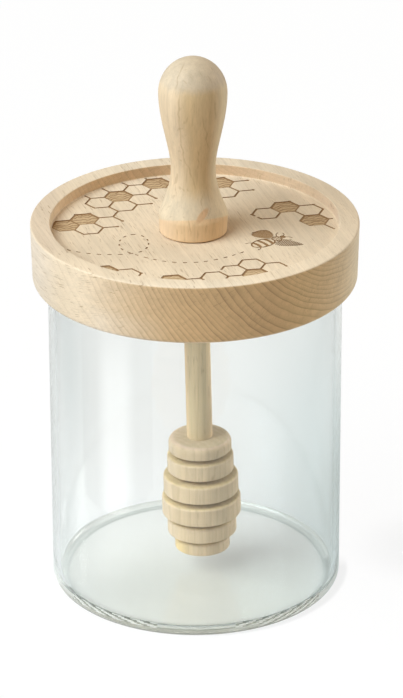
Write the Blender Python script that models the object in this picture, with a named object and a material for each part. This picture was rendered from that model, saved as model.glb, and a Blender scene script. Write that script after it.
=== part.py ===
"""Glass honey jar with a beech cap lid, a turned beech knob and a honey dipper.

Metres, +Z up. The origin is the middle of the jar's base, on the surface the jar stands on.
Every piece is a turned shape: an outline of (radius, height) points spun round its own axis.
"""

import math

import bmesh
import bpy
from mathutils import Vector
from mathutils.geometry import interpolate_bezier

# Clearance between pieces that touch
GAP = 0.0003

# Jar
JAR_RADIUS = 0.0450
JAR_WALL = 0.0022
JAR_BASE = 0.0020
JAR_HEEL = 0.0020
JAR_INNER_CORNER = 0.0020

# Lid, a thick disc with a sunk top, a rim round it and a step underneath that caps the glass
LID_RADIUS = 0.0500
LID_TAPER = 0.0004
LID_HEIGHT = 0.0185
LID_BOTTOM = 0.1012
LID_TOP_ROUND = 0.0010
LID_BOTTOM_ROUND = 0.0015
LID_RIM_WIDTH = 0.0060
LID_RIM_ROUND = 0.0003
LID_RECESS_DEPTH = 0.0035
LID_RECESS_COVE = 0.0004
LID_STEP_DEPTH = 0.0060

# Knob, measured from the flat of its foot. Its axis is set a little to the left of the lid's.
KNOB_SHIFT = -0.00045
KNOB_HEIGHT = 0.0558
KNOB_HEAD_RADIUS = 0.0104
KNOB_HEAD_LEVEL = 0.0448
KNOB_WAIST_RADIUS = 0.00675
KNOB_WAIST_LEVEL = 0.0205
KNOB_FOOT_RADIUS = 0.0105
KNOB_FOOT_LEVEL = 0.0053
KNOB_FOOT_TAPER = 0.0002
KNOB_FOOT_ROUND = 0.0004
KNOB_BORE_DEPTH = 0.0150

# Dipper, one turned piece: a stick with a head of discs, widest below its middle
STICK_RADIUS = 0.0040
STICK_CLEARANCE = 0.0005
STICK_TENON = 0.0130
STICK_CHAMFER = 0.0006
HEAD_TOP_LEVEL = 0.0471
DISC_RADII = (0.0098, 0.01035, 0.0117, 0.0123, 0.0108, 0.0086)
DISC_HEIGHTS = (0.0043, 0.0053, 0.0057, 0.0059, 0.0050, 0.0040)
DISC_TOP_ROUNDS = (0.0020, 0.0007, 0.0008, 0.0008, 0.0010, 0.0010)
DISC_BOTTOM_ROUND = 0.0003
GROOVE_WIDTH = 0.0016
GROOVE_CORE_RADIUS = 0.0056
DIPPER_SHIFT = -0.0002
DIPPER_LEAN = math.radians(1.2)

# Levels that follow
LID_TOP = LID_BOTTOM + LID_HEIGHT
LID_FLOOR = LID_TOP - LID_RECESS_DEPTH
JAR_HEIGHT = LID_BOTTOM + LID_STEP_DEPTH - GAP
BORE_RADIUS = STICK_RADIUS + STICK_CLEARANCE

# Facets
WIDE_SIDES = 72
KNOB_SIDES = 48
DIPPER_SIDES = 40
WELD = 1e-6

# Colours, linear
GLASS_COLOUR = (0.86, 0.93, 0.91)
LID_COLOUR = (0.72, 0.52, 0.30)
KNOB_COLOUR = (0.65, 0.45, 0.25)
DIPPER_COLOUR = (0.68, 0.52, 0.31)


def clear_scene():
    for item in list(bpy.data.objects):
        bpy.data.objects.remove(item, do_unlink=True)


def arc(centre, radius, start, end, steps, rise=None):
    """Points round (radius, height) centre, from start to end degrees; rise stretches it upright."""
    rise = radius if rise is None else rise
    points = []
    for step in range(steps + 1):
        turn = math.radians(start + (end - start) * step / steps)
        points.append((centre[0] + radius * math.cos(turn), centre[1] + rise * math.sin(turn)))
    return points


def sweep(start, start_handle, end_handle, end, count):
    """A Bezier stretch of an outline."""
    corners = [Vector((radius, 0.0, height)) for radius, height in (start, start_handle, end_handle, end)]
    return [(point.x, point.z) for point in interpolate_bezier(*corners, count)]


def turned(name, outline, sides, closed=False):
    """The outline spun round +Z into one closed body."""
    shape = bmesh.new()
    ring = [shape.verts.new((radius, 0.0, height)) for radius, height in outline]
    edges = [shape.edges.new(pair) for pair in zip(ring, ring[1:])]
    if closed:
        edges.append(shape.edges.new((ring[-1], ring[0])))
    bmesh.ops.spin(
        shape,
        geom=ring + edges,
        cent=(0.0, 0.0, 0.0),
        axis=(0.0, 0.0, 1.0),
        angle=math.tau,
        steps=sides,
        use_merge=True,
    )
    bmesh.ops.remove_doubles(shape, verts=shape.verts, dist=WELD)
    bmesh.ops.recalc_face_normals(shape, faces=shape.faces)
    mesh = bpy.data.meshes.new(name)
    shape.to_mesh(mesh)
    shape.free()
    mesh.shade_smooth()
    mesh.set_sharp_from_angle(angle=math.radians(40))
    item = bpy.data.objects.new(name, mesh)
    bpy.context.scene.collection.objects.link(item)
    return item


def material(name, colour, roughness, transmission=0.0, ior=1.5):
    finish = bpy.data.materials.new(name)
    finish.use_nodes = True
    shader = finish.node_tree.nodes["Principled BSDF"]
    shader.inputs["Base Color"].default_value = (*colour, 1.0)
    shader.inputs["Roughness"].default_value = roughness
    shader.inputs["Metallic"].default_value = 0.0
    shader.inputs["Transmission Weight"].default_value = transmission
    shader.inputs["IOR"].default_value = ior
    return finish


def jar_outline():
    """From the middle of the inner floor, up inside, over the rim and down to the base."""
    inner = JAR_RADIUS - JAR_WALL
    lip = JAR_WALL / 2
    corner = (inner - JAR_INNER_CORNER, JAR_BASE + JAR_INNER_CORNER)
    heel = (JAR_RADIUS - JAR_HEEL, JAR_HEEL)
    return [
        (0.0, JAR_BASE),
        *arc(corner, JAR_INNER_CORNER, -90, 0, 5),
        *arc((inner + lip, JAR_HEIGHT - lip), lip, 180, 0, 6),
        *arc(heel, JAR_HEEL, 0, -90, 4),
        (0.0, 0.0),
    ]


def lid_outline():
    """A closed loop: rim, side, lip, the step that takes the glass, the hole and the sunk top."""
    recess = LID_RADIUS - LID_RIM_WIDTH
    foot = LID_RADIUS - LID_TAPER
    cap = JAR_RADIUS + GAP
    floor = LID_HEIGHT - LID_RECESS_DEPTH
    top_round = (LID_RADIUS - LID_TOP_ROUND, LID_HEIGHT - LID_TOP_ROUND)
    bottom_round = (foot - LID_BOTTOM_ROUND, LID_BOTTOM_ROUND)
    rim_round = (recess + LID_RIM_ROUND, LID_HEIGHT - LID_RIM_ROUND)
    cove = (recess - LID_RECESS_COVE, floor + LID_RECESS_COVE)
    return [
        *arc(top_round, LID_TOP_ROUND, 90, 0, 3),
        *arc(bottom_round, LID_BOTTOM_ROUND, 0, -90, 4),
        (cap, 0.0),
        (cap, LID_STEP_DEPTH),
        (BORE_RADIUS, LID_STEP_DEPTH),
        (BORE_RADIUS, floor),
        *arc(cove, LID_RECESS_COVE, -90, 0, 3),
        *arc(rim_round, LID_RIM_ROUND, 180, 90, 2),
    ]


def knob_outline():
    """Dome, shoulder curve to the waist, flare to the foot's upright band, then the blind bore."""
    head = (KNOB_HEAD_RADIUS, KNOB_HEAD_LEVEL)
    waist = (KNOB_WAIST_RADIUS, KNOB_WAIST_LEVEL)
    foot = (KNOB_FOOT_RADIUS, KNOB_FOOT_LEVEL)
    heel = (KNOB_FOOT_RADIUS - KNOB_FOOT_TAPER - KNOB_FOOT_ROUND, KNOB_FOOT_ROUND)
    dome = arc((0.0, head[1]), head[0], 90, 0, 9, rise=KNOB_HEIGHT - KNOB_HEAD_LEVEL)
    dome[0] = (0.0, KNOB_HEIGHT)
    shoulder = sweep(head, (head[0], head[1] - 0.0087), (waist[0], waist[1] + 0.0062), waist, 10)
    flare = sweep(waist, (waist[0], waist[1] - 0.0080), (foot[0], foot[1] + 0.0022), foot, 9)
    return [
        *dome,
        *shoulder[1:],
        *flare[1:],
        *arc(heel, KNOB_FOOT_ROUND, 0, -90, 2),
        (BORE_RADIUS, 0.0),
        (BORE_RADIUS, KNOB_BORE_DEPTH),
        (0.0, KNOB_BORE_DEPTH),
    ]


def disc_outline(radius, top, height, top_round):
    """One disc's edge, from its upper face to its lower one."""
    bottom = top - height
    upper = (radius - top_round, top - top_round)
    lower = (radius - DISC_BOTTOM_ROUND, bottom + DISC_BOTTOM_ROUND)
    return [*arc(upper, top_round, 90, 0, 3), *arc(lower, DISC_BOTTOM_ROUND, 0, -90, 1)]


def dipper_outline():
    """Stick end, stick, then the discs with a groove under each but the last."""
    points = [
        (0.0, STICK_TENON),
        (STICK_RADIUS - STICK_CHAMFER, STICK_TENON),
        (STICK_RADIUS, STICK_TENON - STICK_CHAMFER),
    ]
    top = HEAD_TOP_LEVEL - LID_FLOOR
    points.append((STICK_RADIUS, top))
    for radius, height, top_round in zip(DISC_RADII, DISC_HEIGHTS, DISC_TOP_ROUNDS):
        points += disc_outline(radius, top, height, top_round)
        points.append((GROOVE_CORE_RADIUS, top - height))
        top -= height + GROOVE_WIDTH
        points.append((GROOVE_CORE_RADIUS, top))
    points[-2:] = [(0.0, top + GROOVE_WIDTH)]
    return points


def build():
    clear_scene()
    stand = bpy.data.objects.new("stand_point", None)
    bpy.context.scene.collection.objects.link(stand)

    jar = turned("jar", jar_outline(), WIDE_SIDES)
    jar.data.materials.append(material("clear_glass", GLASS_COLOUR, 0.02, transmission=1.0, ior=1.47))

    lid = turned("lid", lid_outline(), WIDE_SIDES, closed=True)
    lid.location.z = LID_BOTTOM
    lid.data.materials.append(material("lid_beech", LID_COLOUR, 0.6))

    knob = turned("knob", knob_outline(), KNOB_SIDES)
    knob.location = (KNOB_SHIFT, 0.0, LID_FLOOR + GAP)
    knob.data.materials.append(material("knob_beech", KNOB_COLOUR, 0.55))

    # The dipper's own origin is where it passes the lid's floor, and it leans about that point.
    dipper = turned("dipper", dipper_outline(), DIPPER_SIDES)
    dipper.location = (DIPPER_SHIFT, 0.0, LID_FLOOR)
    dipper.rotation_euler.y = -DIPPER_LEAN
    dipper.data.materials.append(material("dipper_beech", DIPPER_COLOUR, 0.65))

    for item in (jar, lid, knob, dipper):
        item.parent = stand


build()
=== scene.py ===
import math

import bmesh
import bpy
from mathutils import Matrix, Vector, noise
from mathutils.geometry import delaunay_2d_cdt, interpolate_bezier


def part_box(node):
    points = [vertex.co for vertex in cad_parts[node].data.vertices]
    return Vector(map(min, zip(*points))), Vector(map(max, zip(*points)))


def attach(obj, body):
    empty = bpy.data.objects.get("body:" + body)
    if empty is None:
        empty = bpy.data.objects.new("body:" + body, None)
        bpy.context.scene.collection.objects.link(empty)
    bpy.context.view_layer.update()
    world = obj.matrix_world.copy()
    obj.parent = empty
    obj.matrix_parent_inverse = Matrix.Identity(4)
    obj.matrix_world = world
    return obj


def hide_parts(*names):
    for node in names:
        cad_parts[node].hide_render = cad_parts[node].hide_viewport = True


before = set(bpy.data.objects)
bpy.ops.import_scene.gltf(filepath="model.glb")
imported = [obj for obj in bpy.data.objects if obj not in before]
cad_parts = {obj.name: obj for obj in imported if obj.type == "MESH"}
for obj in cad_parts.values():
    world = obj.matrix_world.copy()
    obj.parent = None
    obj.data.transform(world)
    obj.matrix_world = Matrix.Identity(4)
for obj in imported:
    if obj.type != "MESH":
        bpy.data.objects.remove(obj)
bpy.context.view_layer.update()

# Looks of the honey dipper jar: clear glass, a beech cap lid with an engraved sunk top, a turned
# knob and a grooved dipper. Metres, +Z up, and the camera looks along +Y.

MM = 0.001

# Sizes read from the frame
JAR_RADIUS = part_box("jar")[1].x
JAR_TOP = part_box("jar")[1].z
LID_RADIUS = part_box("lid")[1].x
LID_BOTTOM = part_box("lid")[0].z
LID_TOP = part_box("lid")[1].z
KNOB_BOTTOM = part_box("knob")[0].z
KNOB_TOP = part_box("knob")[1].z
KNOB_SHIFT = (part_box("knob")[0].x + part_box("knob")[1].x) / 2
KNOB_FOOT_RADIUS = (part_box("knob")[1].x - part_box("knob")[0].x) / 2

# Jar
JAR_WALL = 2.2 * MM
JAR_BASE = 2.0 * MM
JAR_HEEL = 2.0 * MM
INNER_CORNER = 2.0 * MM
HEEL_RING = (40.1 * MM, 41.1 * MM)
JAR_SIDES = 256

# The tinted front of the foot and the painted shade in the front of the inner corner end where y is
# this many times |x|. Behind that, the corner has painted grey shade to the left of
# GREY_CORNER_SIDE.
FRONT_AT_LEFT = -0.35
FRONT_AT_RIGHT = 0.1
CORNER_FRONT = -0.4
GREY_CORNER_SIDE = -26.0 * MM

# The tint above the heel, paler at the right, and the slanted glints over it. Reaches, pitch and
# slope are in degrees round from the middle of the front.
FOOT_BAND = 2.4 * MM
RIGHT_FOOT_SIDE = 8.0 * MM
RIGHT_FOOT_REACH = (12.0, 25.0)
GLINT_TOP = 4.2 * MM
GLINT_LINE = 0.4 * MM
GLINT_REACH = (15.0, 58.0)
GLINT_PITCH = 8.4
GLINT_SLOPE = 6.0 / MM

# Lid
LID_TAPER = 0.4 * MM
LID_TOP_ROUND = 0.6 * MM
LID_BOTTOM_ROUND = 1.5 * MM
LID_RIM_WIDTH = 6.0 * MM
LID_RIM_ROUND = 0.3 * MM
LID_RECESS_DEPTH = 3.5 * MM
LID_RECESS_COVE = 0.4 * MM
LID_STEP_DEPTH = 6.0 * MM
LID_CAP_GAP = 0.3 * MM
BORE_RADIUS = 4.5 * MM
LID_SIDES = 288
LID_FLOOR = LID_TOP - LID_RECESS_DEPTH
FLOOR_RADIUS = LID_RADIUS - LID_RIM_WIDTH - LID_RECESS_COVE

# Knob, heights from the flat of its foot
KNOB_HEIGHT = KNOB_TOP - KNOB_BOTTOM
KNOB_HEAD_RADIUS = 10.4 * MM
KNOB_HEAD_LEVEL = 44.8 * MM
KNOB_WAIST_RADIUS = 6.75 * MM
KNOB_WAIST_LEVEL = 20.5 * MM
KNOB_FOOT_LEVEL = 5.3 * MM
KNOB_FOOT_TAPER = 0.2 * MM
KNOB_FOOT_ROUND = 0.4 * MM
KNOB_BORE_DEPTH = 15.0 * MM
KNOB_SIDES = 320

# Dipper
STICK_RADIUS = 4.0 * MM
STICK_TENON = 13.0 * MM
STICK_CHAMFER = 0.6 * MM
HEAD_TOP = 47.1 * MM
DISC_RADII = [size * MM for size in (9.8, 10.35, 11.7, 12.3, 10.8, 8.6)]
DISC_HEIGHTS = [size * MM for size in (4.3, 5.3, 5.7, 5.9, 5.0, 4.0)]
DISC_TOP_ROUNDS = [size * MM for size in (2.0, 0.7, 0.8, 0.8, 1.0, 1.0)]
DISC_BOTTOM_ROUND = 0.3 * MM
GROOVE_WIDTH = 1.6 * MM
GROOVE_CORE_RADIUS = 5.6 * MM
DIPPER_SHIFT = -0.2 * MM
DIPPER_LEAN = math.radians(1.2)
DIPPER_SIDES = 192

# Engraving on the sunk top, in millimetres from the lid's middle
ENGRAVING_DEPTH = 0.2
LINE_WIDTH = 0.66
LINE_OVERRUN = 0.29 * LINE_WIDTH
DOT_RADIUS = 0.56
DOT_SIDES = 10
GRAIN_ROWS = 5
GRAIN_STEPS = 14
GRAIN_MARGIN = 0.45
GRAIN_SWAY = 1.5
GRAIN_WIDTH = 0.47
FAINT_GRAIN_WIDTH = 0.25
LIMB_WIDTH = 0.34
ALL_EDGES = (0, 1, 2, 3, 4, 5)

# Camera, lights and floor
CAMERA_PLACE = (0.0, -1.1373, 0.6143)
CAMERA_DOWN = math.radians(25.315)
CAMERA_RIGHT = math.radians(0.0954)
CAMERA_ROLL = math.radians(-0.186)
CAMERA_LENS = 365.0
CAMERA_SENSOR = 36.0
FLOOR_DROP = 0.2 * MM
FLOOR_HALF = 4.0
CONTACT_PLACE = (2.6 * MM, 1.5 * MM, 0.0)
PATCH_PLACE = (75.0 * MM, 13.0 * MM, 0.0)
CARD_HALF = 60.0 * MM
CARD_PLACE = (-0.092, -0.069, 0.027)
CARD_FACING = Vector((0.907, 0.41, 0.0))
CARD_GLOW = 3.0
LIGHT_AIM = Vector((0.0, 0.0, 0.09))


def arc(centre, radius, start, end, steps, rise=None):
    """Points round a centre, from start to end degrees. rise is the upright radius, if another."""
    rise = radius if rise is None else rise
    points = []
    for step in range(steps + 1):
        turn = math.radians(start + (end - start) * step / steps)
        points.append((centre[0] + radius * math.cos(turn), centre[1] + rise * math.sin(turn)))
    return points


def heading(angle):
    return Vector((math.cos(angle), math.sin(angle)))


def sweep(start, start_handle, end_handle, end, count):
    """Points along a Bezier stretch."""
    corners = [Vector((x, y, 0.0)) for x, y in (start, start_handle, end_handle, end)]
    return [(point.x, point.y) for point in interpolate_bezier(*corners, count)]


def between(start, end, steps):
    """Points on the straight line after start, up to and with end."""
    (x, y), (far_x, far_y) = start, end
    return [
        (x + (far_x - x) * step / steps, y + (far_y - y) * step / steps)
        for step in range(1, steps + 1)
    ]


def circle(radius, sides):
    """Points of a level circle, anticlockwise from +X."""
    return [
        (radius * math.cos(math.tau * side / sides), radius * math.sin(math.tau * side / sides))
        for side in range(sides)
    ]


def spin(outline, sides):
    """A bmesh of the outline, spun round +Z."""
    shape = bmesh.new()
    rings = []
    for radius, height in outline:
        level_points = circle(radius, sides) if radius > 0.0 else [(0.0, 0.0)]
        rings.append([shape.verts.new((x, y, height)) for x, y in level_points])
    for upper, lower in zip(rings, rings[1:]):
        for side in range(sides):
            corners = [
                upper[side % len(upper)],
                upper[(side + 1) % len(upper)],
                lower[(side + 1) % len(lower)],
                lower[side % len(lower)],
            ]
            shape.faces.new(dict.fromkeys(corners))
    return shape


def add_object(name, data):
    thing = bpy.data.objects.new(name, data)
    bpy.context.scene.collection.objects.link(thing)
    return thing


def finish_mesh(name, shape, materials, sharp=40):
    """Turns the bmesh into an object with smooth shading."""
    bmesh.ops.remove_doubles(shape, verts=shape.verts, dist=0.002 * MM)
    bmesh.ops.recalc_face_normals(shape, faces=shape.faces)
    mesh = bpy.data.meshes.new(name)
    shape.to_mesh(mesh)
    shape.free()
    for material in materials:
        mesh.materials.append(material)
    mesh.shade_smooth()
    mesh.set_sharp_from_angle(angle=math.radians(sharp))
    return add_object(name, mesh)


# Outlines


def jar_outline():
    """From the middle of the inner floor, up inside, over the rim and down to the base."""
    inner = JAR_RADIUS - JAR_WALL
    lip = JAR_WALL / 2
    corner = (inner - INNER_CORNER, JAR_BASE + INNER_CORNER)
    heel = (JAR_RADIUS - JAR_HEEL, JAR_HEEL)
    rise = arc(corner, INNER_CORNER, -90, 0, 16)
    over = arc((inner + lip, JAR_TOP - lip), lip, 180, 0, 16)
    under = arc(heel, JAR_HEEL, 0, -90, 14)
    return [
        (0.0, JAR_BASE),
        *between((0.0, JAR_BASE), rise[0], 8)[:-1],
        *rise,
        *between(rise[-1], over[0], 24)[:-1],
        *over,
        *between(over[-1], (JAR_RADIUS, GLINT_TOP), 24),
        *between((JAR_RADIUS, GLINT_TOP), (JAR_RADIUS, FOOT_BAND), 5),
        *under,
        (HEEL_RING[1], 0.0),
        (HEEL_RING[0], 0.0),
        *between((HEEL_RING[0], 0.0), (0.0, 0.0), 8),
    ]


def lid_outline():
    """Rim, side, lip, the step that caps the glass, and the hole, without the sunk floor."""
    recess = LID_RADIUS - LID_RIM_WIDTH
    foot = LID_RADIUS - LID_TAPER
    cap = JAR_RADIUS + LID_CAP_GAP
    cove = (recess - LID_RECESS_COVE, LID_FLOOR + LID_RECESS_COVE)
    rim_round = (recess + LID_RIM_ROUND, LID_TOP - LID_RIM_ROUND)
    top_round = (LID_RADIUS - LID_TOP_ROUND, LID_TOP - LID_TOP_ROUND)
    bottom_round = (foot - LID_BOTTOM_ROUND, LID_BOTTOM + LID_BOTTOM_ROUND)
    outer = arc(top_round, LID_TOP_ROUND, 90, 0, 8)
    lower = arc(bottom_round, LID_BOTTOM_ROUND, 0, -90, 12)
    return [
        *arc(cove, LID_RECESS_COVE, -90, 0, 8),
        *arc(rim_round, LID_RIM_ROUND, 180, 90, 5),
        *between((recess + LID_RIM_ROUND, LID_TOP), outer[0], 5)[:-1],
        *outer,
        *between(outer[-1], lower[0], 10)[:-1],
        *lower,
        (cap, LID_BOTTOM),
        (cap, LID_BOTTOM + LID_STEP_DEPTH),
        (BORE_RADIUS, LID_BOTTOM + LID_STEP_DEPTH),
        (BORE_RADIUS, LID_FLOOR),
    ]


def knob_outline():
    """Dome, shoulder curve to the waist, flare to the foot's upright band, then the blind bore."""
    head = (KNOB_HEAD_RADIUS, KNOB_HEAD_LEVEL)
    waist = (KNOB_WAIST_RADIUS, KNOB_WAIST_LEVEL)
    foot = (KNOB_FOOT_RADIUS, KNOB_FOOT_LEVEL)
    heel = (KNOB_FOOT_RADIUS - KNOB_FOOT_TAPER - KNOB_FOOT_ROUND, KNOB_FOOT_ROUND)
    dome = arc((0.0, head[1]), head[0], 90, 0, 26, rise=KNOB_HEIGHT - KNOB_HEAD_LEVEL)
    dome[0] = (0.0, KNOB_HEIGHT)
    above_waist, below_waist = (waist[0], waist[1] + 6.2 * MM), (waist[0], waist[1] - 8.0 * MM)
    shoulder = sweep(head, (head[0], head[1] - 8.7 * MM), above_waist, waist, 40)
    flare = sweep(waist, below_waist, (foot[0], foot[1] + 2.2 * MM), foot, 26)
    under = arc(heel, KNOB_FOOT_ROUND, 0, -90, 6)
    return [
        *dome,
        *shoulder[1:],
        *flare[1:],
        *between(flare[-1], under[0], 6)[:-1],
        *under,
        (BORE_RADIUS, 0.0),
        (BORE_RADIUS, KNOB_BORE_DEPTH),
        (0.0, KNOB_BORE_DEPTH),
    ]


def disc_outline(radius, top, height, top_round):
    """One disc's edge, from its upper face to its lower one."""
    bottom = top - height
    upper = arc((radius - top_round, top - top_round), top_round, 90, 0, 8)
    under = (radius - DISC_BOTTOM_ROUND, bottom + DISC_BOTTOM_ROUND)
    lower = arc(under, DISC_BOTTOM_ROUND, 0, -90, 4)
    return [*upper, *between(upper[-1], lower[0], 8)[:-1], *lower]


def dipper_outline():
    """Stick end, stick, then the discs with a groove under each but the last."""
    top = HEAD_TOP - LID_FLOOR
    points = [
        (0.0, STICK_TENON),
        (STICK_RADIUS - STICK_CHAMFER, STICK_TENON),
        (STICK_RADIUS, STICK_TENON - STICK_CHAMFER),
    ]
    points += between(points[-1], (STICK_RADIUS, top), 60)
    for radius, height, top_round in zip(DISC_RADII, DISC_HEIGHTS, DISC_TOP_ROUNDS):
        edge = disc_outline(radius, top, height, top_round)
        points += between(points[-1], edge[0], 3)[:-1] + edge
        points += between(edge[-1], (GROOVE_CORE_RADIUS, top - height), 3)
        top -= height + GROOVE_WIDTH
        points += between(points[-1], (GROOVE_CORE_RADIUS, top), 3)
    del points[-6:]
    points += between(points[-1], (0.0, points[-1][1]), 5)
    return points


# Engraving, drawn flat in millimetres


def stroke(points, width):
    """The polygon that a pen of this width draws along the points."""
    left, right = [], []
    for index, point in enumerate(points):
        before = Vector(points[max(index - 1, 0)])
        after = Vector(points[min(index + 1, len(points) - 1)])
        ahead = (after - before).normalized()
        aside = Vector((-ahead.y, ahead.x)) * width / 2
        left.append(tuple(Vector(point) + aside))
        right.append(tuple(Vector(point) - aside))
    return right + left[::-1]


def straight(start, end, width, longer=0.0):
    """A straight stroke, drawn past both its ends."""
    start, end = Vector(start), Vector(end)
    extra = (end - start).normalized() * longer
    return stroke([tuple(start - extra), tuple(end + extra)], width)


def dot(centre):
    return [(centre[0] + x, centre[1] + y) for x, y in circle(DOT_RADIUS, DOT_SIDES)]


def hexagon(centre, radius, turn):
    """Corners of a cell, anticlockwise from the right-hand one."""
    angles = [turn + math.radians(60 * corner) for corner in range(6)]
    return [
        (centre[0] + radius * math.cos(angle), centre[1] + radius * math.sin(angle))
        for angle in angles
    ]


# Each group of cells has its own origin, spacing and turn in degrees. A cell is given by its column
# and row from the origin. Its edge 0 runs from the right-hand corner to the next one anticlockwise,
# and so on. A part edge is given by the shares of its length where it starts and ends.
OPEN_RIGHT = (0, 1, 2, 3, 4)
CELL_GROUPS = {
    "left": {
        "origin": (-22.1, 19.04), "spacing": 7.66, "turn": 10.9,
        "open": {
            (0, 0): ALL_EDGES,
            (1, 0): OPEN_RIGHT,
            (1, 1): ALL_EDGES,
            (-1, 0): (0, 1, 3, 4, 5),
            (-1, 1): ALL_EDGES,
            (-1, -1): OPEN_RIGHT,
            (-2, -1): ALL_EDGES,
            (-1, 2): ALL_EDGES,
            (0, 2): ALL_EDGES,
            (1, 2): ALL_EDGES,
        },
        "filled": [(0, 1), (2, 1), (-2, 0), (-3, 0)],
        "dots": {(1, 0): (0, 5), (2, 1): (1, 5), (-1, -1): (0, 5), (-2, 0): (1, 2), (-1, 2): (1,)},
    },
    "back": {
        "origin": (7.7, 36.89), "spacing": 7.8, "turn": 12.0,
        "open": {(1, -1): (1, 2, 3, 4), (0, -1): ALL_EDGES},
        "filled": [(0, 0)],
        "dots": {(1, -1): (1, 5), (0, 0): (1,)},
    },
    "right": {
        "origin": (21.9, 12.69), "spacing": 7.75, "turn": 10.8,
        "open": {(0, 0): (0, 1, 2, 4, 5), (2, -1): ALL_EDGES, (3, -3): (3,)},
        "filled": [(1, 0), (2, -2)],
        "dots": {(0, 0): (3,), (1, 0): (1,), (2, -1): (1,)},
        "part_edges": [((0, 0), 3, 0.0, 0.3), ((0, 0), 3, 0.62, 1.0), ((3, -3), 1, 0.75, 1.0)],
    },
    "front": {
        "origin": (16.9, -25.41), "spacing": 7.22, "turn": 9.6,
        "open": {
            (0, 0): ALL_EDGES,
            (-1, 0): (0, 1, 3, 4, 5),
            (-2, 0): (0, 1, 2, 4, 5),
            (-3, 0): ALL_EDGES,
            (1, -1): (0, 1),
        },
        "filled": [(0, -1), (-4, 1)],
        "dots": {(-2, 0): (0, 3)},
        "part_edges": [((-1, 0), 2, 0.0, 0.6)],
    },
    "front_left": {
        "origin": (-20.1, -32.31), "spacing": 7.3, "turn": 11.0,
        "open": {(0, 0): ALL_EDGES},
        "filled": [(-1, 1)],
        "dots": {(0, 0): (0,)},
    },
}


def cell_centre(group, column, row):
    turn = math.radians(group["turn"])
    right, up = heading(turn + math.pi / 6), heading(turn + math.pi / 2)
    return Vector(group["origin"]) + group["spacing"] * (column * right + row * up)


def grain_lines(centre, radius, turn, seed, width):
    """Wavy lines that fill one cell."""
    lines = []
    along = heading(turn)
    across = Vector((-along.y, along.x))
    half_height = radius * math.cos(math.pi / 6)
    for row in range(GRAIN_ROWS):
        level = half_height * (2 * (row + 0.5) / GRAIN_ROWS - 1)
        reach = radius - abs(level) / math.tan(math.radians(60)) - GRAIN_MARGIN
        points = []
        for step in range(GRAIN_STEPS + 1):
            x = reach * (2 * step / GRAIN_STEPS - 1)
            sway = GRAIN_SWAY * noise.noise(Vector((x * 0.55, level * 0.25, seed * 3.7)))
            points.append(tuple(centre + along * x + across * (level + sway)))
        lines.append(stroke(points, width))
    return lines


def honeycomb():
    """Polygons of the cells: fills, faint fills, and lines over them."""
    fills, faint_fills, lines = [], [], []
    seed = 0
    for name, group in CELL_GROUPS.items():
        radius = group["spacing"] / math.sqrt(3)
        turn = math.radians(group["turn"])
        corners_of = {}
        edges = {}
        cells = group["open"] | dict.fromkeys(group["filled"], ALL_EDGES)
        for cell, drawn in cells.items():
            corners = corners_of[cell] = hexagon(cell_centre(group, *cell), radius, turn)
            for edge in drawn:
                start, end = corners[edge], corners[(edge + 1) % 6]
                middle = (round((start[0] + end[0]) / 2, 1), round((start[1] + end[1]) / 2, 1))
                edges[middle] = (start, end)
        for cell, edge, first, last in group.get("part_edges", ()):
            corners = corners_of[cell]
            start, end = Vector(corners[edge]), Vector(corners[(edge + 1) % 6])
            edges[cell, edge, first] = (tuple(start.lerp(end, first)), tuple(start.lerp(end, last)))
        lines += [straight(start, end, LINE_WIDTH, LINE_OVERRUN) for start, end in edges.values()]
        faint = name == "front"
        for cell in group["filled"]:
            seed += 1
            (faint_fills if faint else fills).append(corners_of[cell])
            width = FAINT_GRAIN_WIDTH if faint else GRAIN_WIDTH
            lines += grain_lines(cell_centre(group, *cell), radius, turn, seed, width)
        for cell, corners in group["dots"].items():
            lines += [dot(corners_of[cell][corner]) for corner in corners]
    return fills, faint_fills, lines


DASH_PITCH = 3.1
DASH_LENGTH = 1.65
DASH_WIDTH = 0.46
LOOP_CENTRE = (-18.4, -9.71)
LOOP_RADII = (4.45, 6.8)
WAY_IN = ((-38.6, -13.91), (-31.5, -18.81), (-19.9, -18.91))
WAY_OUT = ((-8.15, -26.61), (2.35, -26.91), (15.2, -15.71))


def trail():
    """The dashed flight line: in from the wall, once round a loop and across to the bee."""
    loop = arc(LOOP_CENTRE, LOOP_RADII[0], -60, 240, 60, rise=LOOP_RADII[1])
    path = sweep(*WAY_IN, loop[0], 40) + loop[1:] + sweep(loop[-1], *WAY_OUT, 60)[1:]
    dashes, dash, walked, start = [], [], 0.0, 0.0
    for before, after in zip(path, path[1:]):
        step = math.dist(before, after)
        pieces = max(1, math.ceil(step / 0.2))
        for point in between(before, after, pieces):
            walked += step / pieces
            if walked - start <= DASH_LENGTH:
                dash.append(point)
            elif dash:
                dashes.append(stroke(dash[:: max(1, len(dash) // 4)], DASH_WIDTH))
                dash = []
            if walked - start >= DASH_PITCH:
                start = walked
    return dashes


BEE_PLACE = (24.8, -6.5)
BEE_HEADING = math.radians(38)


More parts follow.
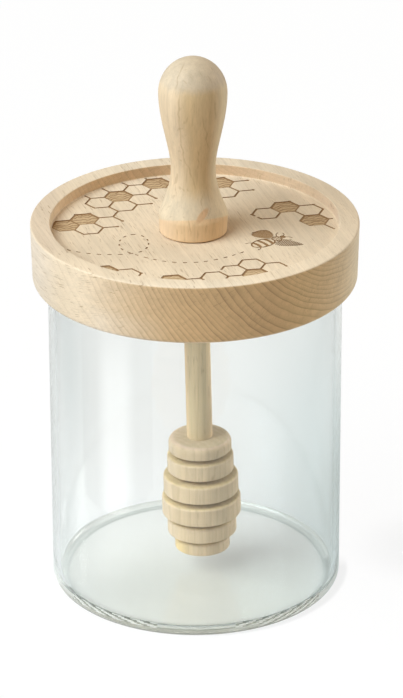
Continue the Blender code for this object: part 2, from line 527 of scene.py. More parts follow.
def bee():
    """A plain bee seen from above, with a banded belly, hatched wings, legs and feelers."""
    turn = Matrix.Rotation(BEE_HEADING, 2)

    def put(points):
        return [tuple(turn @ Vector(point) + Vector(BEE_PLACE)) for point in points]

    def on_oval(points, centre, radii, lean=0.0):
        """Points of the unit circle's plane carried onto the oval."""
        slope = Matrix.Rotation(math.radians(lean), 2)
        stretched = [Vector((x * radii[0], y * radii[1])) for x, y in points]
        return [tuple(slope @ point + Vector(centre)) for point in stretched]

    fills, lines = [], []

    def draw(points, width):
        lines.append(stroke(put(points), width))

    def draw_round(points, width):
        loop = points + points[:1]
        half = len(points) // 2
        draw(loop[: half + 1], width)
        draw(loop[half:], width)

    round_points = circle(1.0, 28)
    belly = ((-5.3, 0.0), (4.0, 2.6))
    draw_round(on_oval(round_points, *belly), 0.5)
    for level in (-0.62, -0.06, 0.5):
        reach = 0.96 * math.sqrt(1 - level * level)
        bend = [(level + 0.1 * (1 - t * t), t * reach) for t in (-1, -0.6, -0.2, 0.2, 0.6, 1)]
        draw(on_oval(bend, *belly), 1.05)
    chest = on_oval(round_points, (0.0, 0.0), (1.5, 1.55))
    draw_round(chest, 0.45)
    for level in (-0.6, 0.1, 0.8):
        reach = 1.4 * math.sqrt(1 - (level / 1.5) ** 2)
        draw([(level, -reach), (level + 0.12, 0.0), (level, reach)], LIMB_WIDTH)
    lines.append(put(on_oval(round_points, (2.3, 0.0), (0.85, 1.0))))
    near_wing = ((-1.2, 4.9), (3.3, 4.1), 96)
    far_wing = ((0.6, -5.0), (4.1, 3.1), -53)
    drop = [(x, y * (0.72 + 0.28 * x)) for x, y in round_points]
    fills.append(put(on_oval(drop, *near_wing)))
    for wing, rows, wider, width in ((near_wing, 12, 0.28, 0.4), (far_wing, 13, -0.28, 0.38)):
        for row in range(rows):
            level = 2 * (row + 0.5) / rows - 1
            reach = 0.97 * math.sqrt(1 - level * level) * (0.72 + wider * level)
            ends = [(level + 0.14 * t, t * reach) for t in (-1, 1)]
            draw(on_oval(ends, *wing), width)
    feeler = ((2.8, 0.45), (3.8, 1.2), (4.1, 2.4))
    fore_leg = ((1.0, 1.4), (2.0, 2.9), (3.1, 3.3))
    hind_leg = ((-7.6, 1.6), (-8.6, 2.8), (-9.8, 3.0))
    for side in (1, -1):
        for limb in (feeler, fore_leg, hind_leg):
            draw([(x, side * y) for x, y in limb], LIMB_WIDTH)
    return fills, lines


def floor_faces(shape):
    """The sunk floor of the lid, with every engraved stroke let into it as real depth."""
    cell_fills, faint_fills, cell_lines = honeycomb()
    bee_fills, bee_lines = bee()
    fills = cell_fills + bee_fills + faint_fills
    lines = cell_lines + bee_lines + trail()
    rings = [circle(FLOOR_RADIUS / MM, LID_SIDES), circle(BORE_RADIUS / MM, LID_SIDES)]
    points, faces = [], []
    for polygon in rings + fills + lines:
        area = sum(a[0] * b[1] - b[0] * a[1] for a, b in zip(polygon, polygon[1:] + polygon[:1]))
        ordered = polygon if area > 0 else polygon[::-1]
        faces.append(list(range(len(points), len(points) + len(ordered))))
        points += [Vector(point) for point in ordered]
    places, _, triangles, _, _, owners = delaunay_2d_cdt(points, [], faces, 1, 1e-5)
    first_line = 2 + len(fills)
    first_faint = first_line - len(faint_fills)
    wood, scorched, burnt, faint = range(4)
    kinds = {}
    for triangle, owner in zip(triangles, owners):
        if 0 not in owner or 1 in owner:
            continue
        last = max(owner)
        if last >= first_line:
            kinds[tuple(triangle)] = burnt
        elif last >= first_faint:
            kinds[tuple(triangle)] = faint
        else:
            kinds[tuple(triangle)] = scorched if last >= 2 else wood
    levels = {}

    def corner(index, sunk):
        if (index, sunk) not in levels:
            place = places[index] * MM
            depth = ENGRAVING_DEPTH * MM if sunk else 0.0
            levels[index, sunk] = shape.verts.new((place.x, place.y, LID_FLOOR - depth))
        return levels[index, sunk]

    sides = {}
    for triangle, kind in kinds.items():
        face = shape.faces.new([corner(index, kind != wood) for index in triangle])
        face.material_index = kind
        for start, end in zip(triangle, triangle[1:] + triangle[:1]):
            sides.setdefault(frozenset((start, end)), []).append(kind != wood)
    for ends, sunk in sides.items():
        if len(sunk) == 1:
            sunk = sunk + [False]
        if sunk[0] != sunk[1]:
            start, end = ends
            wall = ((start, True), (end, True), (end, False), (start, False))
            face = shape.faces.new([corner(*place) for place in wall])
            face.material_index = burnt


# Materials


class Look:
    """The nodes of a material or the world, written as plain calls. An input is a number, a tuple
    of three, such as a colour, or the output of another node."""

    def __init__(self, owner):
        self.owner = owner
        owner.use_nodes = True
        self.tree = owner.node_tree
        self.tree.nodes.clear()

    def add(self, kind, inputs=None, output=0, **settings):
        """One output of a new shader node of this kind, or all of them where output is None."""
        node = self.tree.nodes.new(f"ShaderNode{kind}")
        for key, value in settings.items():
            setattr(node, key, value)
        for key, value in (inputs or {}).items():
            socket = node.inputs[key]
            if isinstance(value, bpy.types.NodeSocket):
                self.tree.links.new(value, socket)
            else:
                socket.default_value = (*value, 1.0) if socket.type == "RGBA" else value
        return node.outputs if output is None else node.outputs[output]

    def spot(self):
        """Where the shaded point lies on the object."""
        return self.add("TexCoord", output="Object")

    def split(self, place):
        return self.add("SeparateXYZ", {0: place}, output=None)

    def math(self, operation, *values):
        return self.add("Math", dict(enumerate(values)), operation=operation)

    def scale(self, value, factor, offset):
        """value * factor + offset"""
        return self.math("MULTIPLY_ADD", value, factor, offset)

    def times(self, product, *factors):
        for factor in factors:
            product = self.math("MULTIPLY", product, factor)
        return product

    def vector(self, operation, *values):
        output = "Value" if operation in ("DOT_PRODUCT", "LENGTH") else "Vector"
        return self.add("VectorMath", dict(enumerate(values)), output, operation=operation)

    def radius(self, place):
        """How far a place is from the upright axis."""
        return self.vector("LENGTH", self.vector("MULTIPLY", place, (1.0, 1.0, 0.0)))

    def distance(self, place, centre):
        return self.vector("LENGTH", self.vector("SUBTRACT", place, centre))

    def noise(self, place, stretch, detail=1.0, output=0):
        scaled = self.vector("MULTIPLY", place, stretch)
        inputs = {"Vector": scaled, "Scale": 1.0, "Detail": detail, "Roughness": 0.55}
        return self.add("TexNoise", inputs, output)

    def rise(self, value, low, high, start=0.0, end=1.0):
        """A smooth step from start to end as value goes from low to high."""
        inputs = {"Value": value, "From Min": low, "From Max": high, "To Min": start, "To Max": end}
        return self.add("MapRange", inputs, interpolation_type="SMOOTHSTEP")

    def fall(self, value, low, high):
        """A smooth step from 1 to 0 as value goes from low to high."""
        return self.rise(value, low, high, 1.0, 0.0)

    def mix(self, share, first, second, blend="MIX"):
        inputs = {0: share, 6: first, 7: second}
        return self.add("Mix", inputs, 2, data_type="RGBA", blend_type=blend)

    def tint(self, share, colour, factors):
        """The colour with its channels multiplied by the factors, as far as share says."""
        return self.mix(share, colour, factors, blend="MULTIPLY")

    def fade(self, colour, red, green, blue):
        """The colour with each channel multiplied by the output of a node."""
        return self.tint(1.0, colour, self.add("CombineColor", {0: red, 1: green, 2: blue}))

    def output(self, surface):
        """Ends the nodes with this surface, and gives back the material or the world."""
        kind = "World" if isinstance(self.owner, bpy.types.World) else "Material"
        self.add(f"Output{kind}", {"Surface": surface}, output=None)
        return self.owner


def new_look(name):
    return Look(bpy.data.materials.new(name))


BEECH_STAIN = (0.33, 0.205, 0.10)
RING_WANDER = 2.2 * MM


def growth_rings(look, board, spacing, wide_years):
    """How dark the rings are: each year darkens outward to a thin line. wide_years gives two radii,
    and how many years fewer lie between them."""
    wander = look.noise(board, (70.0, 70.0, 12.0), detail=2.0, output=1)
    wander = look.vector("SUBTRACT", wander, (0.5, 0.5, 0.5))
    wander = look.vector("MULTIPLY", wander, (RING_WANDER, RING_WANDER, 0.0))
    radius = look.radius(look.vector("ADD", board, wander))
    first, last, fewer = wide_years
    phase = look.math("DIVIDE", radius, spacing)
    phase = look.math("SUBTRACT", phase, look.rise(radius, first, last, 0.0, fewer))
    share = look.math("FRACT", phase)
    gradient = look.times(look.rise(share, 0.2, 0.9), 0.45)
    line = look.rise(share, 0.74, 0.92, 0.0, 0.55)
    late = look.times(look.math("ADD", gradient, line), look.fall(share, 0.93, 1.0))
    year = look.add("TexWhiteNoise", {"W": look.math("FLOOR", phase)}, noise_dimensions="1D")
    return look.times(late, look.scale(year, 0.6, 0.4))


def pores(look, board):
    """Short dark dashes along the fibre, in drifts."""
    pore = look.rise(look.noise(board, (3800.0, 3800.0, 420.0)), 0.60, 0.72)
    drift = look.rise(look.noise(board, (160.0, 160.0, 60.0)), 0.38, 0.62)
    return look.times(pore, look.scale(drift, 0.75, 0.25))


def rays(look, board, pith):
    """Thin blades that run out from the pith, seen as dashes across the rings, in swarms."""
    out, up, along = look.split(board)
    round_pith = look.times(look.math("ARCTAN2", up, out), math.hypot(*pith))
    blade = look.add("CombineXYZ", {0: round_pith, 1: look.radius(board), 2: along})
    ray = look.rise(look.noise(blade, (2300.0, 450.0, 210.0)), 0.62, 0.71)
    swarm = look.rise(look.noise(board, (120.0, 120.0, 90.0)), 0.35, 0.65)
    return look.times(ray, look.scale(swarm, 0.7, 0.3))


def beech(
    name, fibre, pith, light, dark, end, ring_spacing, ring_shares, ray_share, zones,
    wide_years=(0.0, 1.0, 0.0), pore_share=0.15, streak_share=0.12, mark_share=0.0,
):
    """Beech as a solid texture: rings round the pith line, fibres and pores along it, rays out of
    it. zones is a function that adds a piece's own tones and its painted light and shade. A share
    says how strong a pattern is, ring_shares on side grain and on end grain."""
    look = new_look(name)
    along = Vector(fibre).normalized()
    upright = Vector((0.0, 0.0, 1.0)) if abs(along.z) < 0.9 else Vector((0.0, 1.0, 0.0))
    aside = upright.cross(along).normalized()
    upward = along.cross(aside).normalized()
    spot = look.spot()
    parts = [look.vector("DOT_PRODUCT", spot, tuple(axis)) for axis in (aside, upward, along)]
    out = look.math("SUBTRACT", parts[0], pith[0])
    up = look.math("SUBTRACT", parts[1], pith[1])
    board = look.add("CombineXYZ", {0: out, 1: up, 2: parts[2]})

    # End grain, where the surface faces along the fibre
    normal = look.add("NewGeometry", output="Normal")
    facing = look.math("ABSOLUTE", look.vector("DOT_PRODUCT", normal, tuple(along)))
    across = look.rise(facing, 0.45, 1.0)
    side_share, end_share = ring_shares
    contrast = look.scale(across, end_share - side_share, side_share)
    late = look.times(growth_rings(look, board, ring_spacing, wide_years), contrast)
    colour = look.mix(late, look.mix(across, light, end), dark)
    colour = zones(look, spot, normal, colour)

    # Fibres, seen as soft streaks and as fine ones, and paler and darker places
    soft = look.noise(board, (500.0, 500.0, 25.0), detail=2.0)
    fine = look.noise(board, (2600.0, 2600.0, 60.0), detail=2.0)
    patch = look.noise(board, (55.0, 55.0, 30.0), detail=2.0)
    cloud = look.noise(board, (260.0, 260.0, 110.0), detail=2.0)
    tone = look.scale(soft, 2.0 * streak_share, 1.0 - streak_share)
    for pattern, span in ((fine, 0.24), (patch, 0.22), (cloud, 0.14)):
        tone = look.math("ADD", tone, look.scale(pattern, span, -span / 2))
    colour = look.fade(colour, tone, tone, tone)

    # Stained flecks, which are a little sunk as well
    ray = look.times(rays(look, board, pith), ray_share)
    fleck = look.math("MAXIMUM", ray, look.times(pores(look, board), pore_share))
    colour = look.mix(fleck, colour, BEECH_STAIN)
    height = look.math("SUBTRACT", look.times(fine, 0.6), fleck)
    if mark_share > 0.0:
        mark = look.add("Attribute", output="Fac", attribute_name="marks")
        colour = look.mix(look.times(mark, mark_share), colour, BEECH_STAIN)
        height = look.math("SUBTRACT", height, mark)

    inputs = {
        "Base Color": colour,
        "Roughness": look.scale(fine, 0.2, 0.5),
        "Specular IOR Level": 0.3,
        "Normal": look.add("Bump", {"Strength": 0.35, "Distance": 0.08 * MM, "Height": height}),
    }
    return look.output(look.add("BsdfPrincipled", inputs))


KNOT_PLACE = (2.2 * MM, -8.5 * MM, 124.8 * MM)
KNOT_TURN = math.radians(-42)
KNOT_SQUEEZE = (1.05, 0.3, 0.42)


def knob_zones(look, spot, normal, colour):
    """Pale dome and flare, painted light on the right flank, a brown middle, orange foot, knot
    above.
    """
    side, depth, level = look.split(spot)
    turned = look.split(normal)[0]
    ragged = look.noise(spot, (500.0, 500.0, 60.0), detail=2.0)
    uneven = look.math("ADD", level, look.scale(ragged, 3.0 * MM, -1.5 * MM))
    brown_middle = look.math("ADD", side, look.rise(level, 148.0 * MM, 158.0 * MM, 0.0, 1.8 * MM))
    brown_middle = look.times(look.rise(brown_middle, -5.5 * MM, 0.5 * MM), 0.85)
    colour = look.mix(brown_middle, colour, (0.615, 0.44, 0.237))
    flare = look.times(look.fall(uneven, 127.0 * MM, 134.0 * MM), 0.85)
    colour = look.mix(flare, colour, (0.68, 0.57, 0.42))
    # Painted light: faces turned to the right are paler.
    colour = look.mix(look.rise(turned, 0.5, 0.95), colour, (0.79, 0.66, 0.46))
    dome = look.times(look.rise(uneven, 163.5 * MM, 166.5 * MM), 0.85)
    colour = look.mix(dome, colour, (0.62, 0.51, 0.38))

    slant = look.scale(side, 0.05, 120.9 * MM)
    slant = look.scale(depth, -0.3, slant)
    foot = look.fall(look.math("SUBTRACT", level, slant), -0.3 * MM, 0.3 * MM)
    right = look.rise(side, -9.0 * MM, -3.0 * MM)
    orange = look.mix(right, (0.76, 0.565, 0.375), (0.76, 0.55, 0.335))
    colour = look.mix(foot, colour, orange)

    away = {"Vector": look.vector("SUBTRACT", spot, KNOT_PLACE), "Angle": KNOT_TURN}
    away = look.add("VectorRotate", away, rotation_type="Y_AXIS")
    away = look.vector("LENGTH", look.vector("MULTIPLY", away, KNOT_SQUEEZE))
    return look.mix(look.fall(away, 0.8 * MM, 1.4 * MM), colour, (0.64, 0.42, 0.25))


def dipper_zones(look, spot, normal, colour):
    """A stick that darkens downward and has painted light at its edges, and a head that is greyer
    than the stick, with painted light on top and at the left, and painted warm shade in its
    grooves."""
    level = look.split(spot)[2]
    turned, _, upward = look.split(normal)
    fade = look.rise(level, 46.0 * MM, 80.0 * MM, 0.84, 1.06)
    stick = look.fade(colour, fade, fade, look.times(fade, 0.96))
    # Painted light: the stick is paler at its edges, where it turns to the sides.
    edge = look.rise(look.math("ABSOLUTE", turned), 0.55, 0.95)
    stick = look.tint(edge, stick, (1.18, 1.13, 1.14))

    discs = look.tint(1.0, colour, (0.895, 0.875, 0.905))
    # Painted light: the head is paler on its upward faces near the top, and paler and bluer facing
    # left.
    top = look.rise(level, HEAD_TOP - 2.2 * MM, HEAD_TOP - 1.0 * MM)
    discs = look.tint(look.times(look.rise(upward, 0.3, 0.9), top), discs, (1.09, 1.06, 1.11))
    discs = look.tint(look.fall(turned, -0.95, -0.55), discs, (1.0, 1.03, 1.12))

    # Painted shade: the grooves are darker and warmer.
    deep = look.fall(look.radius(spot), 7.0 * MM, 8.4 * MM)
    flat = look.rise(look.math("ABSOLUTE", upward), 0.6, 0.9)
    below = look.fall(level, HEAD_TOP - 4.6 * MM, HEAD_TOP - 4.2 * MM)
    groove = look.times(look.math("MAXIMUM", deep, flat), below)
    grooved = look.mix(groove, discs, look.tint(1.0, colour, (0.93, 0.90, 0.74)))
    return look.mix(look.fall(level, HEAD_TOP - 0.4 * MM, HEAD_TOP), stick, grooved)


def lid_zones(look, spot, normal, colour):
    """The top is paler at the front and the back and browner along its left rim, the side has
    painted light at its ends and low on the left, and the wall round the back of the sunk top is
    even."""
    side, depth, level = look.split(spot)
    turned, _, upward = look.split(normal)
    upright = look.fall(upward, 0.3, 0.6)
    low = look.fall(level, LID_BOTTOM + 4.0 * MM, LID_BOTTOM + 10.0 * MM)
    low = look.times(low, look.rise(turned, -0.68, -0.54), look.fall(turned, -0.35, -0.1))
    on_top = (
        (look.fall(depth, -50.0 * MM, -40.0 * MM), (1.07, 1.10, 1.14)),
        (look.fall(depth, -34.0 * MM, -20.0 * MM), (1.07, 1.08, 1.09)),
        (look.fall(side, -45.0 * MM, -37.0 * MM), (0.91, 0.90, 0.92)),
        (look.rise(depth, 20.0 * MM, 42.0 * MM), (1.02, 1.05, 1.09)),
    )
    # Painted light: the side is paler facing right, paler and bluer facing left and low at the
    # front left.
    side_painted_light = (
        (look.rise(turned, 0.42, 0.68), (1.155, 1.20, 1.18)),
        (look.fall(turned, -0.97, -0.78), (1.0, 1.04, 1.14)),
        (low, (1.03, 1.08, 1.17)),
    )
    for facing, tints in ((look.rise(upward, 0.5, 0.9), on_top), (upright, side_painted_light)):
        for share, factors in tints:
            colour = look.tint(look.times(share, facing), colour, factors)
    wall = look.times(look.rise(depth, 0.0, 12.0 * MM, 0.0, 0.55), upright)
    return look.mix(wall, colour, (0.70, 0.52, 0.36))


def scorch(name, light, dark):
    """Engraved wood: browned, with a fine uneven burn."""
    look = new_look(name)
    burn = look.noise(look.spot(), (1500.0, 2600.0, 1500.0), detail=2.0)
    colour = look.mix(look.rise(burn, 0.3, 0.7), light, dark)
    inputs = {"Base Color": colour, "Roughness": 0.8, "Specular IOR Level": 0.2}
    return look.output(look.add("BsdfPrincipled", inputs))


# Clear glass, and what the light from lamps becomes on its way through clear and through hazy glass
CLEAR_GLASS = (0.972, 0.982, 0.982)
CLEAR_SHADE = (0.90, 0.91, 0.905)
HAZY_SHADE = (0.85, 0.86, 0.84)


def glass(name, colour, shade=CLEAR_SHADE, transmission=1.0, roughness=0.0, zones=None):
    """Glass that lets light from lamps through to what stands inside or under it. zones, if given,
    is a function that paints light and shade into its tint."""
    look = new_look(name)
    inputs = {
        "Base Color": colour if zones is None else zones(look, look.spot(), colour),
        "Roughness": roughness,
        "IOR": 1.47,
        "Transmission Weight": transmission,
    }
    solid = look.add("BsdfPrincipled", inputs)
    open_way = look.add("BsdfTransparent", {"Color": shade})
    shadow = look.add("LightPath", output="Is Shadow Ray")
    return look.output(look.add("MixShader", {0: shadow, 1: solid, 2: open_way}))


def underside_zones(look, spot, tone):
    """Painted light: paler away from a place near the front of the base."""
    away = look.distance(spot, (2.0 * MM, -25.0 * MM, 0.0))
    return look.mix(look.rise(away, 12.0 * MM, 60.0 * MM), tone, (0.85, 0.805, 0.765))


def floor_zones(look, spot, tone):
    """The inner floor, with painted shade: greyer at the left, along its edge and in its left
    corner.
    """
    side, out = look.split(spot)[0], look.radius(spot)
    tone = look.mix(look.fall(side, -42.0 * MM, -26.0 * MM), tone, (0.72, 0.73, 0.725))
    edge = look.times(
        look.rise(out, 38.0 * MM, 40.8 * MM),
        look.fall(out, 40.9 * MM, 41.4 * MM),
        look.rise(side, 8.0 * MM, 36.0 * MM, 1.0, 0.15),
    )
    tone = look.mix(edge, tone, (0.64, 0.66, 0.64))
    corner = look.times(
        look.rise(out, 40.9 * MM, 41.6 * MM), look.fall(side, -42.0 * MM, -28.0 * MM)
    )
    return look.mix(corner, tone, (0.50, 0.52, 0.50))


# Hair cracks and vessels on the front, down through (side, height) points in millimetres

CRACK_WIDTH = 0.27
VESSEL_WIDTH = 0.3
KNOB_CRACKS = (
    [(-2.8, 172.0), (-3.9, 170.3), (-4.9, 168.4), (-5.6, 165.0)],
    [
        (-4.6, 163.6), (-4.7, 154.3), (-4.2, 149.7), (-3.6, 146.3),
        (-3.0, 141.6), (-1.5, 139.4), (0.4, 132.5),
    ],
    [(2.2, 157.5), (2.9, 153.0), (3.6, 151.2), (3.8, 145.5)],
    [(6.5, 167.1), (5.0, 165.4)],
    [(6.0, 162.0), (6.3, 155.5)],
    [(1.4, 146.0), (0.9, 139.0)],
    [(-5.6, 133.5), (-5.9, 129.0)],
    [(2.6, 131.5), (2.1, 127.5)],
    [(-5.2, 121.0), (-5.4, 117.2)],
    [(-1.6, 124.4), (-1.4, 118.4)],
    [(1.0, 121.0), (0.7, 117.5)],
    [(3.4, 122.6), (3.7, 119.4)],
    [(5.1, 127.4), (4.2, 125.2), (2.4, 123.0)],
)
STICK_VESSELS = (
    [(1.0, 97.0), (1.1, 94.5)],
    [(0.9, 90.5), (1.2, 86.5)],
    [(1.4, 84.0), (1.4, 82.5)],
    [(1.9, 77.5), (2.1, 75.0)],
    [(1.6, 72.5), (1.9, 68.8)],
)


def mark_front(piece, lines, width):
    """Stores how much each point of the front lies on a hair line, for the material to read."""
    marks = piece.data.attributes.new("marks", "FLOAT", "POINT")
    for vertex, mark in zip(piece.data.vertices, marks.data):
        side, depth, level = vertex.co / MM
        share = 0.0
        for line in lines if depth < 0.0 else ():
            for (before, upper), (after, lower) in zip(line, line[1:]):
                if not lower < level <= upper:
                    continue
                sway = 0.5 * noise.noise(Vector((*line[0], 0.5 * level)))
                centre = after + (before - after) * (level - lower) / (upper - lower) + sway
                near = max(0.0, 1.0 - abs(side - centre) / width)
                ends = min(1.0, level - line[-1][1], line[0][1] - level)
                strength = 0.75 + 0.5 * noise.noise(Vector((line[0][0], 9.0, level)))
                share = max(share, near * ends * strength)
        mark.value = min(share, 1.0)


# Pieces


def jar_glasses():
    """The kinds of glass on the jar, by the words that glass_kind gives."""
    return {
        "wall": glass("clear_glass_walls", CLEAR_GLASS),
        "underside": glass(
            "milky_glass_underside", (0.65, 0.62, 0.555), HAZY_SHADE,
            transmission=0.5, roughness=0.15, zones=underside_zones,
        ),
        "ring": glass(
            "grey_glass_ring", (0.52, 0.52, 0.48), HAZY_SHADE, transmission=0.4, roughness=0.15
        ),
        "pale heel": glass(
            "pale_glass_heel", (0.80, 0.79, 0.74), HAZY_SHADE, transmission=0.5, roughness=0.1
        ),
        "grey heel": glass(
            "grey_glass_heel", (0.36, 0.365, 0.33), HAZY_SHADE, transmission=0.15, roughness=0.1
        ),
        "inner floor": glass("soft_glass_floor", CLEAR_GLASS, roughness=0.2, zones=floor_zones),
        # Painted shade: a dark line along the front of the inner corner.
        "inner corner": glass("dark_glass_corner", (0.08, 0.085, 0.07)),
        "foot": glass("green_glass_foot", (0.62, 0.60, 0.54)),
        "right foot": glass("pale_glass_foot", (0.74, 0.74, 0.69)),
        "dark glint": glass("dark_glass_glint", (0.30, 0.31, 0.26)),
        "pale glint": glass("pale_glass_glint", (1.0, 1.0, 0.97), transmission=0.7),
    }


def outer_foot_kind(level, aside, front):
    """The kind of glass outside, above the heel, so many degrees aside of the front's middle."""
    stripe = (abs(aside) - GLINT_SLOPE * (level - FOOT_BAND)) / GLINT_PITCH % 1.0
    if level < FOOT_BAND and front and aside < RIGHT_FOOT_REACH[1]:
        return "foot" if aside < RIGHT_FOOT_REACH[0] else "right foot"
    if GLINT_REACH[0] < abs(aside) < GLINT_REACH[1]:
        return "dark glint" if stripe < 0.4 else "pale glint" if stripe > 0.6 else "wall"
    if level < FOOT_BAND + GLINT_LINE and abs(aside) < GLINT_REACH[1]:
        return "dark glint"
    return "wall"


def glass_kind(middle, up):
    """The kind of glass of one of the jar's faces, by its middle and how far it looks up."""
    radius = math.hypot(middle.x, middle.y)
    front = middle.y < (FRONT_AT_LEFT if middle.x < 0.0 else FRONT_AT_RIGHT) * abs(middle.x)
    in_corner = middle.z < JAR_BASE + INNER_CORNER
    if middle.z < JAR_HEEL and up < (-0.3 if front else -0.04):
        if radius < HEEL_RING[1]:
            return "underside" if radius < HEEL_RING[0] else "ring"
        return "grey heel" if front else "pale heel"
    if middle.z < JAR_BASE + 0.1 * MM and up > 0.9:
        return "inner floor"
    if in_corner and up > 0.05 and middle.y > CORNER_FRONT * abs(middle.x):
        return "inner floor" if middle.x < GREY_CORNER_SIDE else "wall"
    # Painted shade along the front of the inner corner
    if in_corner and 0.8 < up < 0.97:
        return "inner corner"
    if middle.z < GLINT_TOP and radius > JAR_RADIUS - 0.1 * MM:
        return outer_foot_kind(middle.z, math.degrees(math.atan2(middle.x, -middle.y)), front)
    if middle.z < FOOT_BAND and up <= 0.0 and front:
        return "foot" if middle.x < RIGHT_FOOT_SIDE else "right foot"
    return "wall"


def make_jar():
    glasses = jar_glasses()
    shape = spin(jar_outline(), JAR_SIDES)
    piece = finish_mesh("jar_glass", shape, glasses.values(), sharp=60)
    indexes = {kind: index for index, kind in enumerate(glasses)}
    for face in piece.data.polygons:
        face.material_index = indexes[glass_kind(face.center, face.normal.z)]
    return piece


def make_lid():
    shape = spin(lid_outline(), LID_SIDES)
    floor_faces(shape)
    board = beech(
        "lid_wood", fibre=(0.3, -0.954, 0.0), pith=(42.0 * MM, LID_TOP + 28.8 * MM),
        light=(0.755, 0.615, 0.455), dark=(0.30, 0.185, 0.09), end=(0.615, 0.41, 0.215),
        ring_spacing=1.4 * MM, wide_years=(42.0 * MM, 62.0 * MM, 4.5),
        ring_shares=(0.15, 0.8), ray_share=0.6, pore_share=0.2, zones=lid_zones,
    )
    materials = [
        board,
        scorch("engraved_fill", (0.60, 0.435, 0.267), (0.495, 0.347, 0.20)),
        scorch("engraved_line", (0.36, 0.22, 0.11), (0.25, 0.14, 0.062)),
        scorch("engraved_faint", (0.65, 0.48, 0.30), (0.55, 0.39, 0.228)),
    ]
    return finish_mesh("lid_board", shape, materials)


def make_knob():
    wood = beech(
        "knob_wood", fibre=(0.02, 0.0, 1.0), pith=(21.0 * MM, -26.0 * MM),
        light=(0.74, 0.58, 0.40), dark=(0.36, 0.23, 0.12), end=(0.70, 0.58, 0.42),
        ring_spacing=2.1 * MM, ring_shares=(0.15, 0.2), ray_share=0.3, streak_share=0.16,
        zones=knob_zones, mark_share=0.5,
    )
    piece = finish_mesh("knob_turned", spin(knob_outline(), KNOB_SIDES), [wood])
    piece.data.transform(Matrix.Translation((KNOB_SHIFT, 0.0, KNOB_BOTTOM)))
    mark_front(piece, KNOB_CRACKS, CRACK_WIDTH)
    return piece


def make_dipper():
    wood = beech(
        "dipper_wood", fibre=(0.0, 0.02, 1.0), pith=(-16.0 * MM, -19.0 * MM),
        light=(0.715, 0.54, 0.325), dark=(0.42, 0.28, 0.14), end=(0.665, 0.516, 0.343),
        ring_spacing=2.0 * MM, ring_shares=(0.3, 0.3), ray_share=0.4, streak_share=0.15,
        zones=dipper_zones, mark_share=0.6,
    )
    piece = finish_mesh("dipper_turned", spin(dipper_outline(), DIPPER_SIDES), [wood])
    lean = Matrix.Rotation(-DIPPER_LEAN, 4, "Y")
    piece.data.transform(Matrix.Translation((DIPPER_SHIFT, 0.0, LID_FLOOR)) @ lean)
    mark_front(piece, STICK_VESSELS, VESSEL_WIDTH)
    return piece


# Studio


def grey(tone):
    return (tone, tone, tone)


def make_camera():
    lens = bpy.data.cameras.new("camera")
    lens.sensor_fit = "HORIZONTAL"
    lens.sensor_width = CAMERA_SENSOR
    lens.lens = CAMERA_LENS
    lens.clip_end = 20.0
    camera = add_object("camera", lens)
    camera.location = CAMERA_PLACE
    turn = Matrix.Rotation(-CAMERA_RIGHT, 3, "Z")
    tilt = Matrix.Rotation(math.pi / 2 - CAMERA_DOWN, 3, "X")
    roll = Matrix.Rotation(CAMERA_ROLL, 3, "Z")
    camera.rotation_euler = (turn @ tilt @ roll).to_euler()
    bpy.context.scene.camera = camera


def make_light(name, azimuth, elevation, distance, size, power, colour):
    """A round soft light aimed at the middle of the object, azimuth from +X. Degrees and watts."""
    lamp = bpy.data.lights.new(name, "AREA")
    lamp.shape = "DISK"
    lamp.size = size
    lamp.energy = power
    lamp.color = colour
    light = add_object(name, lamp)
    turn, rise = math.radians(azimuth), math.radians(elevation)
    way = Vector((math.cos(turn) * math.cos(rise), math.sin(turn) * math.cos(rise), math.sin(rise)))
    light.location = LIGHT_AIM + way * distance
    light.rotation_euler = way.to_track_quat("Z", "Y").to_euler()


def make_world():
    """White to the camera, warm and dim to matt surfaces, and a cool grey to glass and gloss."""
    look = Look(bpy.data.worlds.new("studio"))
    path = look.add("LightPath", output=None)
    shade = look.add("Background", {"Color": (0.60, 0.64, 0.64)})
    for ray, colour in (("Is Diffuse Ray", (0.31, 0.24, 0.155)), ("Is Camera Ray", grey(1.0))):
        around = look.add("Background", {"Color": colour})
        shade = look.add("MixShader", {0: path[ray], 1: shade, 2: around})
    bpy.context.scene.world = look.output(shade)


def make_sheet(name, cells, half, material):
    """A flat square of cells by cells faces."""
    shape = bmesh.new()
    bmesh.ops.create_grid(shape, x_segments=cells, y_segments=cells, size=half)
    return finish_mesh(name, shape, [material])


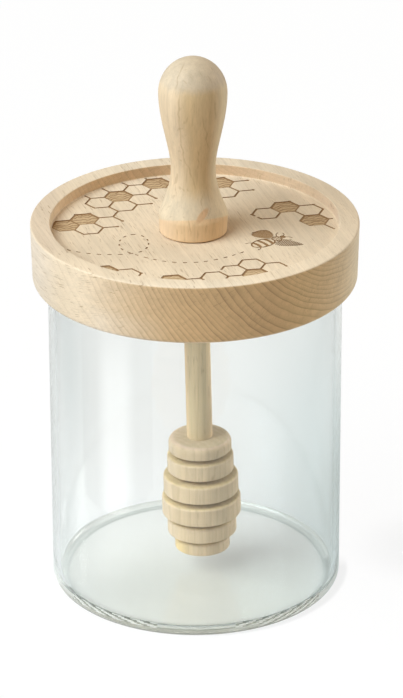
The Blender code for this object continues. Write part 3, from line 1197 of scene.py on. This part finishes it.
def make_floor():
    """A pale sweep. To the camera it is nearly white, with two soft shadows. Glass and gloss see
    its real shadows, dim ends, and painted cool shade to the right and left of the jar."""
    look = new_look("pale_floor")
    path = look.add("LightPath", output=None)
    spot = look.spot()
    side, depth, _ = look.split(spot)

    def part(glow, matt):
        emission = look.add("Emission", {"Color": glow})
        diffuse = look.add("BsdfDiffuse", {"Color": matt})
        return look.add("AddShader", {0: emission, 1: diffuse})

    # Painted shade for glass and gloss: the floor is darker and cooler to the right and the left of
    # the jar.
    right = look.times(look.rise(side, 0.0, 0.06), look.rise(depth, 0.05, 0.20, 1.0, 0.24))
    left = look.fall(look.scale(depth, 0.1, side), -0.052, -0.026)
    left = look.times(left, look.rise(depth, 0.12, 0.24, 1.0, 0.5))
    flank_shade = look.mix(right, grey(1.0), (0.77, 0.87, 0.89))
    flank_shade = look.mix(left, flank_shade, (0.84, 0.865, 0.87))
    flank_shade = look.mix(path["Is Diffuse Ray"], flank_shade, grey(1.0))
    ends = look.rise(look.math("ABSOLUTE", side), 0.11, 0.24)
    glow = look.tint(1.0, look.mix(ends, grey(0.45), (0.16, 0.17, 0.17)), flank_shade)
    matt = look.tint(1.0, look.mix(ends, grey(0.48), grey(0.30)), flank_shade)

    contact = look.rise(look.distance(spot, CONTACT_PLACE), 44.2 * MM, 45.8 * MM, 0.12, 0.0)
    contact = look.times(contact, look.fall(depth, -1.0 * MM, 10.0 * MM))
    patch = look.rise(look.distance(spot, PATCH_PLACE), 8.0 * MM, 30.0 * MM, 0.065, 0.0)
    white = look.mix(look.math("MAXIMUM", contact, patch), grey(0.945), grey(0.0))
    inputs = {0: path["Is Camera Ray"], 1: part(glow, matt), 2: part(white, grey(0.055))}
    material = look.output(look.add("MixShader", inputs))
    floor = make_sheet("floor", 8, FLOOR_HALF, material)
    floor.location.z = -FLOOR_DROP


def make_card():
    """A small glowing card beside the jar, seen only as a soft band on the glass."""
    look = new_look("card_glow")
    side, rise, _ = look.split(look.spot())
    aside = look.fall(look.math("ABSOLUTE", side), 8.0 * MM, 34.0 * MM)
    above = look.fall(look.math("ABSOLUTE", rise), 15.0 * MM, 55.0 * MM)
    glow = {"Color": grey(1.0), "Strength": look.times(aside, above, CARD_GLOW)}
    card = make_sheet("card", 6, CARD_HALF, look.output(look.add("Emission", glow)))
    card.location = CARD_PLACE
    card.rotation_euler = CARD_FACING.to_track_quat("Z", "Y").to_euler()
    for ray in ("camera", "diffuse", "transmission", "shadow"):
        setattr(card, f"visible_{ray}", False)


bpy.context.scene.view_settings.view_transform = "Standard"
make_camera()
make_world()
make_floor()
make_card()
make_light("key", 207, 45, 1.6, 1.5, 33.0, (0.90, 1.0, 1.05))
make_light("rim", 30, 15, 1.5, 0.6, 7.0, (1.0, 1.0, 0.97))

for maker, node, slot in (
    (make_jar, "jar", "clear_glass"),
    (make_lid, "lid", "lid_beech"),
    (make_knob, "knob", "knob_beech"),
    (make_dipper, "dipper", "dipper_beech"),
):
    piece = maker()
    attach(piece, "root")
    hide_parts(node)
